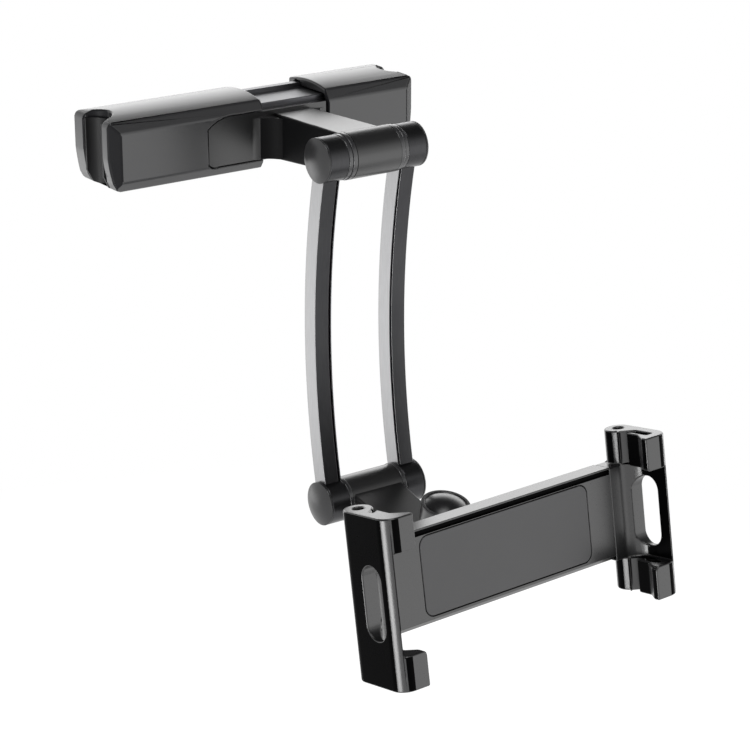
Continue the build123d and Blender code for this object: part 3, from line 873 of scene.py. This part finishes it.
@dataclass
class Clamp:
    """The two housings, their liners and the rail between them.

    Each low corner is how far in from the end it lies, its height, and how many degrees the plane
    that trims it by low_cut looks down.
    """

    edge: float = 0.9
    liner_edge: float = 0.25
    rail_edge: float = 0.3
    left_end: float = -97.2
    right_end: float = 70.7
    top: float = 16.9
    end_round: float = 3.6
    top_turns: tuple[float, ...] = (22.5, 45.0, 67.5)
    low_corners: tuple[tuple[float, float, float], ...] = ((2.2, -13.75, 27.0), (4.7, -16.25, 67.0))
    low_cut: float = 0.45
    bevel_turn: float = 0.2

    def build(self) -> None:
        """Build and dress the clamp."""
        for side, shell, body, end in (
            (Side.LEFT, "left_housing", "base", self.left_end),
            (Side.RIGHT, "right_jaw", "sliding_jaw", self.right_end),
        ):
            cuts = self.end_cuts(side, end)
            housing = softened_copy(shell, f"{shell}_shell", HOUSING, body, self.edge, False, cuts)
            # The bevels at the ends take the shaded copy, as painted shade
            dress_zone(housing, HOUSING_SHADED_BEVEL, self.on_bevel)
            liner = f"{side.word}_liner"
            softened_copy(liner, f"{liner}_rubber", LINER, body, self.liner_edge, True, cuts)
        softened_copy("rail", "guide_rail", RAIL, "base", self.rail_edge)
        repaint("slide_bar", RAIL)

    def on_bevel(self, centre: Vector, normal: Vector) -> bool:
        """Whether a face of a housing is on the bevel at the front of its end.

        Args:
            centre: The face's middle, not looked at.
            normal: Its direction.

        Returns:
            True on the bevel.
        """
        return abs(normal.x) > self.bevel_turn and normal.y < -self.bevel_turn

    def end_cuts(self, side: Side, end: float) -> list[Cut]:
        """Lay the planes that round the top and bottom corners of a housing's end.

        Args:
            side: Which housing.
            end: Where its end is.

        Returns:
            The cutting planes.
        """
        sign = side.value
        cuts = []
        centre = Vector((end - sign * self.end_round, 0, self.top - self.end_round))
        for degrees in self.top_turns:
            turn = math.radians(degrees)
            normal = Vector((sign * math.cos(turn), 0, math.sin(turn)))
            cuts.append((centre + normal * self.end_round, normal))
        for inward, height, degrees in self.low_corners:
            turn = math.radians(degrees)
            normal = Vector((sign * math.cos(turn), 0, -math.sin(turn)))
            corner = Vector((end - sign * inward, 0, height))
            cuts.append((corner - normal * self.low_cut, normal))
        return cuts


@dataclass
class Washer:
    """One thrust washer beside a hinge barrel."""

    node: str
    hinge: Hinge
    side: Side
    inner: float
    width: float
    radius: float
    bore: float = 4.05
    edge: float = 0.4
    edge_steps: int = 5

    def build(self, body: str) -> None:
        """Build and dress the washer.

        Args:
            body: The CAD body it moves with.
        """
        outer = self.inner + self.width
        corners = [
            (self.inner, self.bore),
            (outer, self.bore),
            (outer, self.radius),
            (self.inner, self.radius),
        ]
        outline = rounded(corners, self.edge, self.edge_steps)
        piece = turned(f"{self.node}_ring", outline, self.hinge.centre, self.side.outward)
        dress(piece, WASHER, body, self.node)


@dataclass
class Arm:
    """The arm, its base screw and the upper barrel's washers.

    A washer is given as its inner face's distance from the hinge's middle, width and radius.
    """

    edge: float = 0.7
    screw_edge: float = 0.3
    flank_turn: float = 0.35
    step_washer: tuple[float, float, float] = (11.9, 2.2, 10.75)
    thin_washer: tuple[float, float, float] = (14.2, 2.0, 10.4)

    def build(self) -> None:
        """Build and dress the arm."""
        arm = softened_copy("arm", "arm_casting", NYLON, "base", self.edge)
        # The flanks take the darker, duller copy, as painted shade
        dress_zone(arm, NYLON_SHADED_FLANK, lambda centre, normal: abs(normal.x) > self.flank_turn)
        softened_copy("base_screw", "base_screw_head", STEEL, "base", self.screw_edge)
        repaint("upper_axle", STEEL)
        for side in Side:
            step, thin = f"upper_step_washer_{side.word}", f"upper_thin_washer_{side.word}"
            Washer(step, Hinge.UPPER, side, *self.step_washer).build("base")
            Washer(thin, Hinge.UPPER, side, *self.thin_washer).build("links")


@dataclass
class Links:
    """The two bowed bars with their eyes and caps."""

    inner: float = 16.3
    outer: float = 25.2
    eye_outer: float = 26.0
    eye_radius: float = 10.3
    recess: float = 23.0
    recess_radius: float = 7.0
    bore: float = 4.02
    bow: float = 9.7
    depth: float = 8.9
    edge: float = 0.45
    edge_steps: int = 4
    fin: float = 0.4
    fin_edge_share: float = 0.3
    groove: float = 1.0
    groove_depth: float = 3.0
    trim: float = 7.4
    arc_steps: int = 64
    cap_gap: float = 0.1
    cap_rim: float = 0.8
    cap_rise: float = 2.2
    cap_edge: float = 0.15
    cap_edge_steps: int = 3
    dome_steps: int = 16

    def build(self) -> None:
        """Build and dress both links and their caps."""
        recipe = self.bar_recipe()
        for side in Side:
            bar = recipe.make(f"{side.word}_bar", self.bar_sizes(side))
            eyes = [self.eye(hinge, side) for hinge in Hinge]
            link = join(f"{side.word}_link_bar", [bar, *eyes])
            dress(link, LINK, "links", f"{side.word}_link")
            for hinge in Hinge:
                self.cap(hinge, side)

    def bar_sizes(self, side: Side) -> dict[str, object]:
        """List the values for the bar's recipe.

        Args:
            side: Which bar.

        Returns:
            Input label to value.
        """
        top = Hinge.UPPER.centre
        bottom = Hinge.LOWER.centre
        return {
            "Top": top,
            "Middle": (top + bottom) / 2 + Vector((0, self.bow * MM, 0)),
            "Bottom": bottom,
            "Side": float(side.value),
            "Inner": self.inner * MM,
            "Outer": self.outer * MM,
            "Depth": self.depth * MM,
            "Fin": self.fin * MM,
            "Groove": self.groove * MM,
            "Groove Depth": self.groove_depth * MM,
            "Edge": self.edge * MM,
            "Trim": self.trim * MM,
        }

    def bar_recipe(self) -> Recipe:
        """Sweep bar, fin and the web behind the groove along the arc between the hinges.

        Returns:
            The recipe, ready to run for each side.
        """
        recipe = Recipe("bowed_bar")
        ends = ("Top", "Middle", "Bottom")
        top, middle, bottom = (recipe.size(label, "NodeSocketVector") for label in ends)
        sizes = (
            "Side", "Inner", "Outer", "Depth", "Fin", "Groove", "Groove Depth", "Edge", "Trim",
        )
        side, inner, outer, depth, fin, groove, groove_depth, edge, trim = map(recipe.size, sizes)
        arc = recipe.node(
            "GeometryNodeCurveArc",
            {"Start": top, "Middle": middle, "End": bottom, "Resolution": self.arc_steps},
            mode="POINTS",
        )
        length = recipe.node("GeometryNodeCurveLength", {0: arc})
        path = recipe.node(
            "GeometryNodeTrimCurve",
            {0: arc, 4: trim, 5: recipe.calc("SUBTRACT", length, trim)},
            mode="LENGTH",
        )
        groove_start = recipe.calc("ADD", inner, fin)
        bar_start = recipe.calc("ADD", groove_start, groove)
        web_end = recipe.calc("ADD", bar_start, edge)
        half = recipe.calc("MULTIPLY", depth, 0.5)
        front = recipe.calc("MULTIPLY", half, -1.0)
        web_front = recipe.calc("ADD", front, groove_depth)
        fine_edge = recipe.calc("MULTIPLY", fin, self.fin_edge_share)
        web_start = recipe.calc("ADD", inner, fine_edge)
        web_back = recipe.calc("SUBTRACT", half, fine_edge)
        strips = (
            (bar_start, outer, front, half, edge),
            (inner, groove_start, front, half, fine_edge),
            (web_start, web_end, web_front, web_back, fine_edge),
        )
        shapes = []
        for start, end, low, high, radius in strips:
            width = recipe.calc("SUBTRACT", end, start)
            height = recipe.calc("SUBTRACT", high, low)
            section = recipe.node(
                "GeometryNodeCurvePrimitiveQuadrilateral", {"Width": width, "Height": height}
            )
            section = recipe.node(
                "GeometryNodeFilletCurve",
                {0: section, "Count": self.edge_steps, "Radius": radius, "Limit Radius": True},
                mode="POLY",
            )
            across = recipe.calc("MULTIPLY", recipe.calc("ADD", start, end), 0.5)
            across = recipe.calc("MULTIPLY", across, side)
            through = recipe.calc("MULTIPLY", recipe.calc("ADD", low, high), -0.5)
            offset = recipe.node("ShaderNodeCombineXYZ", {0: across, 1: through})
            section = recipe.node("GeometryNodeTransform", {0: section, "Translation": offset})
            sweep = {"Curve": path, "Profile Curve": section, "Fill Caps": True}
            shapes.append(recipe.node("GeometryNodeCurveToMesh", sweep))
        recipe.finish(shapes, LINK)
        return recipe

    def eye(self, hinge: Hinge, side: Side) -> bpy.types.Object:
        """Turn one eye with its bore and the recess for its cap.

        Args:
            hinge: The hinge it turns on.
            side: Left or right.

        Returns:
            The eye.
        """
        corners = [
            (self.inner, self.bore),
            (self.recess, self.bore),
            (self.recess, self.recess_radius),
            (self.eye_outer, self.recess_radius),
            (self.eye_outer, self.eye_radius),
            (self.inner, self.eye_radius),
        ]
        name = f"{side.word}_{hinge.name.lower()}_eye"
        outline = rounded(corners, self.edge, self.edge_steps)
        return turned(name, outline, hinge.centre, side.outward)

    def cap(self, hinge: Hinge, side: Side) -> None:
        """Build and dress one domed cap.

        Args:
            hinge: Upper or lower.
            side: Left or right.
        """
        node = f"{hinge.name.lower()}_cap_{side.word}"
        start = self.eye_outer + self.cap_gap
        rim = start + self.cap_rim
        corners = [(start, 0.0), (start, self.eye_radius), (rim, self.eye_radius)]
        outline = rounded(corners, self.cap_edge, self.cap_edge_steps)[:-1]
        outline += dome(rim, self.eye_radius, self.cap_rise, self.dome_steps)
        piece = turned(f"{node}_dome", outline, hinge.centre, side.outward)
        dress(piece, CAP, "links", node)


@dataclass
class TongueAndHead:
    """The swivel tongue, its washers, the head with its cap and the pin."""

    edge: float = 0.6
    pin_edge: float = 0.4
    washer: tuple[float, float, float] = (14.3, 1.9, 10.4)
    head_top: float = 26.42
    cap_radius: float = 11.4
    cap_rim: float = 1.3
    cap_ledge: float = 1.5
    cap_step: float = 0.4
    cap_rise: float = 2.6
    cap_edge: float = 0.3
    cap_edge_steps: int = 4
    dome_steps: int = 18

    def build(self) -> None:
        """Build and dress the tongue and the head."""
        softened_copy("tongue", "swivel_tongue", NYLON, "tongue", self.edge)
        repaint("lower_axle", STEEL)
        for side in Side:
            Washer(f"lower_washer_{side.word}", Hinge.LOWER, side, *self.washer).build("tongue")
        softened_copy("swivel_pin", "swivel_pin_head", STEEL, "tongue", self.pin_edge)
        softened_copy("swivel_head", "swivel_head_shell", NYLON, "swivel_head", self.edge)
        self.cap()

    def cap(self) -> None:
        """Turn and dress the head's cap: rim, ledge, step and dome."""
        swivel = JOINTS["head_swivel"]
        rim = self.head_top + self.cap_rim
        dome_radius = self.cap_radius - self.cap_ledge - self.cap_step
        corners = [
            (self.head_top, 0.0),
            (self.head_top, self.cap_radius),
            (rim, self.cap_radius),
            (rim, dome_radius + self.cap_step),
            (rim - self.cap_step, dome_radius),
        ]
        outline = rounded(corners, self.cap_edge, self.cap_edge_steps)[:-1]
        rise = self.cap_rise + self.cap_step
        outline += dome(rim - self.cap_step, dome_radius, rise, self.dome_steps)
        piece = turned("head_cap_dome", outline, Vector(swivel["pos_m"]), Vector(swivel["axis"]))
        dress(piece, CAP, "swivel_head", "head_cap")


@dataclass
class BallJoint:
    """The ball stud, the ribbed lock ring round its socket and the hub behind the cradle."""

    stud_edge: float = 0.2
    ring_edge: float = 0.25
    hub_edge: float = 0.4

    def build(self) -> None:
        """Build and dress the ball joint."""
        softened_copy("ball_stud", "ball_stud_steel", STEEL, "ball_stud", self.stud_edge)
        softened_copy("lock_ring", "lock_ring_grip", NYLON, "swivel_head", self.ring_edge)
        softened_copy("hub", "cradle_hub", CRADLE, "cradle", self.hub_edge)


@dataclass
class Cradle:
    """The cradle's body and inset panel, and the two end brackets.

    Local places are along the slides, back along the ball stud, and up. Groove and shade strip are
    where the shadow groove and the front strip, both painted black as shade, start and end. Turns
    are parts of a unit normal.
    """

    edge: float = 0.6
    panel_edge: float = 0.35
    bracket_edge: float = 0.8
    stud_length: float = 28.0
    groove_floor: float = -4.1
    groove: tuple[float, float] = (19.2, 21.7)
    shade_strip: tuple[float, float] = (3.4, 6.9)
    shade_strip_front: float = -18.0
    side_turn: float = 0.93
    up_turn: float = 0.5

    def build(self) -> None:
        """Build and dress the cradle."""
        plate = softened_copy("cradle_body", "cradle_plate", CRADLE, "cradle", self.edge)
        # The groove under the plate's top edge is painted black as shade
        dress_zone(plate, PAINTED_SHADE, self.in_groove)
        softened_copy("front_panel", "front_panel_inset", PANEL, "cradle", self.panel_edge)
        for side in Side:
            node = f"{side.word}_bracket"
            bracket = softened_copy(
                node, f"{side.word}_end_bracket", CRADLE, node, self.bracket_edge, False
            )
            # The flat sides and the front strip beside the corner are painted black as shade
            dress_zone(bracket, PAINTED_SHADE, self.painted_shade_zone(bracket, side))

    @property
    def along(self) -> Vector:
        """Direction of the slides, to the right."""
        return Vector(JOINTS["right_bracket_slide"]["axis"])

    @property
    def back(self) -> Vector:
        """Direction of the ball stud, away from the tablet."""
        spin = Vector(JOINTS["cradle_spin"]["axis"])
        return spin * math.copysign(1, spin.y)

    @property
    def up(self) -> Vector:
        """Direction of the cradle's height."""
        return self.along.cross(self.back)

    def local(self, place: Vector) -> Vector:
        """Turn a place in metres to the cradle's own axes.

        Args:
            place: The place in the shared frame.

        Returns:
            The place from the cradle's middle, in mm.
        """
        offset = place / MM - Vector(JOINTS["cradle_spin"]["pos_m"]) / MM
        behind = offset @ self.back + self.stud_length
        return Vector((offset @ self.along, behind, offset @ self.up))

    def in_groove(self, centre: Vector, normal: Vector) -> bool:
        """Whether a face of the plate lies in the shadow groove under its top edge.

        Args:
            centre: The face's middle.
            normal: Its direction, not looked at.

        Returns:
            True in the groove.
        """
        place = self.local(centre)
        return self.groove[0] < place.z < self.groove[1] and place.y < self.groove_floor

    def painted_shade_zone(self, bracket: bpy.types.Object, side: Side) -> Zone:
        """Find the faces of a bracket that are painted black as shade.

        Args:
            bracket: The bracket.
            side: Which one.

        Returns:
            The zone of its flat sides and of the front strip beside its rounded corner.
        """
        reach = max(side.value * self.local(vertex.co).x for vertex in bracket.data.vertices)

        def on_painted_shade(centre: Vector, normal: Vector) -> bool:
            """Whether a face is painted black as shade, by its middle and direction."""
            place = self.local(centre)
            on_side = abs(normal @ self.along) > self.side_turn
            in_strip = self.shade_strip[0] < reach - side.value * place.x < self.shade_strip[1]
            level = abs(normal @ self.up) <= self.up_turn
            return on_side or (in_strip and place.y < self.shade_strip_front and level)

        return on_painted_shade


@dataclass(frozen=True)
class Lamp:
    """One soft rectangular lamp: its place and size in metres, and its watts."""

    name: str
    place: tuple[float, float, float]
    size: tuple[float, float]
    watts: float

    def hang(self, middle: Vector) -> None:
        """Hang the lamp so that it lights the object, unseen by the camera.

        Args:
            middle: The object's middle, which it faces.
        """
        light = bpy.data.lights.new(self.name, "AREA")
        light.shape = "RECTANGLE"
        light.size, light.size_y = self.size
        light.energy = self.watts
        lamp = bpy.data.objects.new(self.name, light)
        lamp.visible_camera = False
        lamp.location = self.place
        lamp.rotation_euler = (middle - lamp.location).to_track_quat("-Z", "Y").to_euler()
        bpy.context.scene.collection.objects.link(lamp)


# A wide strip stands behind the object, four panels stand low around it and one hangs overhead
LAMPS = (
    Lamp("low_back_strip", (1.25, 1.75, 0.58), (3.4, 1.25), 23.0),
    Lamp("front_right_panel", (1.1, -1.75, -0.55), (1.7, 1.5), 4.0),
    Lamp("left_panel", (-1.62, -0.62, -0.7), (0.75, 0.9), 16.0),
    Lamp("back_left_panel", (-0.67, 1.19, -0.67), (0.9, 0.6), 2.0),
    Lamp("right_panel", (1.8, 0.05, -0.6), (0.8, 0.9), 8.0),
    Lamp("top_panel", (-0.1, -0.6, 1.6), (0.8, 0.8), 9.0),
)


@dataclass
class Studio:
    """Pale floor, soft lamps and the camera at the photograph's angle, in metres.

    The floor's fade is where it goes over from its own tone and glow to pure white. The ceiling's
    span is the height of a direction over which the room goes from white to its dark level.
    """

    camera_at: tuple[float, float, float] = (-0.61258, -0.95586, 0.28502)
    look: tuple[float, float, float] = (0.54016, 0.76914, -0.34153)
    focal_mm: float = 117.84
    sensor_mm: float = 36.0
    middle: tuple[float, float, float] = (0.0, -0.09, -0.09)
    drop: float = 0.24
    floor_radius: float = 0.72
    floor_corners: int = 96
    floor_fade: tuple[float, float] = (0.55, 0.8)
    floor_tone: str = "#9a9a9a"
    floor_glow: float = 0.88
    ceiling_span: tuple[float, float] = (0.2, 0.8)
    ceiling_level: float = 0.05

    def build(self) -> None:
        """Set up camera, floor, background and lamps."""
        camera = bpy.data.objects.new("camera", bpy.data.cameras.new("camera"))
        camera.data.lens = self.focal_mm
        camera.data.sensor_width = self.sensor_mm
        camera.location = self.camera_at
        camera.rotation_euler = Vector(self.look).to_track_quat("-Z", "Y").to_euler()
        bpy.context.scene.collection.objects.link(camera)
        bpy.context.scene.camera = camera
        self.floor()
        self.world()
        for lamp in LAMPS:
            lamp.hang(Vector(self.middle))
        bpy.context.scene.view_settings.view_transform = "Standard"

    def floor(self) -> None:
        """Lay the floor below the object: white when seen, darker only where a shadow falls."""
        low = cad_box[0].z - self.drop
        corners = []
        for i in range(self.floor_corners):
            turn = 2 * math.pi * i / self.floor_corners
            x = self.middle[0] + self.floor_radius * math.cos(turn)
            y = self.middle[1] + self.floor_radius * math.sin(turn)
            corners.append((x, y, low))
        mesh = bpy.data.meshes.new("floor")
        mesh.from_pydata(corners, [], [list(range(self.floor_corners))])
        floor = new_piece("floor", mesh)
        material = bpy.data.materials.new("studio_floor")
        tree = empty_tree(material)
        place = add_node(tree, "ShaderNodeTexCoord").outputs["Object"]
        distance = add_node(tree, "ShaderNodeVectorMath", {0: place}, operation="LENGTH")
        away = ramp(tree, distance.outputs["Value"], self.floor_fade, how="SMOOTHSTEP")
        colour = blend(tree, away, linear(self.floor_tone), linear("#000000"))
        glow = ramp(tree, away, (0.0, 1.0), (self.floor_glow, 1.0))
        rays = add_node(tree, "ShaderNodeLightPath").outputs
        seen = calc(tree, "MAXIMUM", rays["Is Camera Ray"], rays["Is Glossy Ray"])
        seen = calc(tree, "MAXIMUM", seen, rays["Is Transmission Ray"])
        strength = calc(tree, "MULTIPLY", glow, seen)
        diffuse = add_node(tree, "ShaderNodeBsdfDiffuse", {"Color": colour}).outputs[0]
        emission = add_node(tree, "ShaderNodeEmission", {"Strength": strength}).outputs[0]
        both = add_node(tree, "ShaderNodeAddShader", {0: diffuse, 1: emission})
        add_node(tree, "ShaderNodeOutputMaterial", {"Surface": both.outputs[0]})
        mesh.materials.append(material)

    def world(self) -> None:
        """Light the room evenly from the sides and less from above, white where it is seen."""
        world = bpy.data.worlds.new("studio_world")
        bpy.context.scene.world = world
        tree = empty_tree(world)
        place = add_node(tree, "ShaderNodeTexCoord")
        height = add_node(tree, "ShaderNodeSeparateXYZ", {0: place.outputs["Generated"]}).outputs[2]
        ceiling = ramp(tree, height, self.ceiling_span, (1.0, self.ceiling_level), "SMOOTHSTEP")
        rays = add_node(tree, "ShaderNodeLightPath")
        strength = calc(tree, "MAXIMUM", ceiling, rays.outputs["Is Camera Ray"])
        backdrop = add_node(
            tree, "ShaderNodeBackground", {"Color": linear("#ffffff"), "Strength": strength}
        )
        add_node(tree, "ShaderNodeOutputWorld", {"Surface": backdrop.outputs[0]})


def main() -> None:
    """Build every sub-assembly in order."""
    logging.basicConfig(level=logging.INFO, format="%(name)s: %(message)s")
    for part in (Studio(), Clamp(), Arm(), Links(), TongueAndHead(), BallJoint(), Cradle()):
        part.build()


if __name__ == "__main__":
    main()
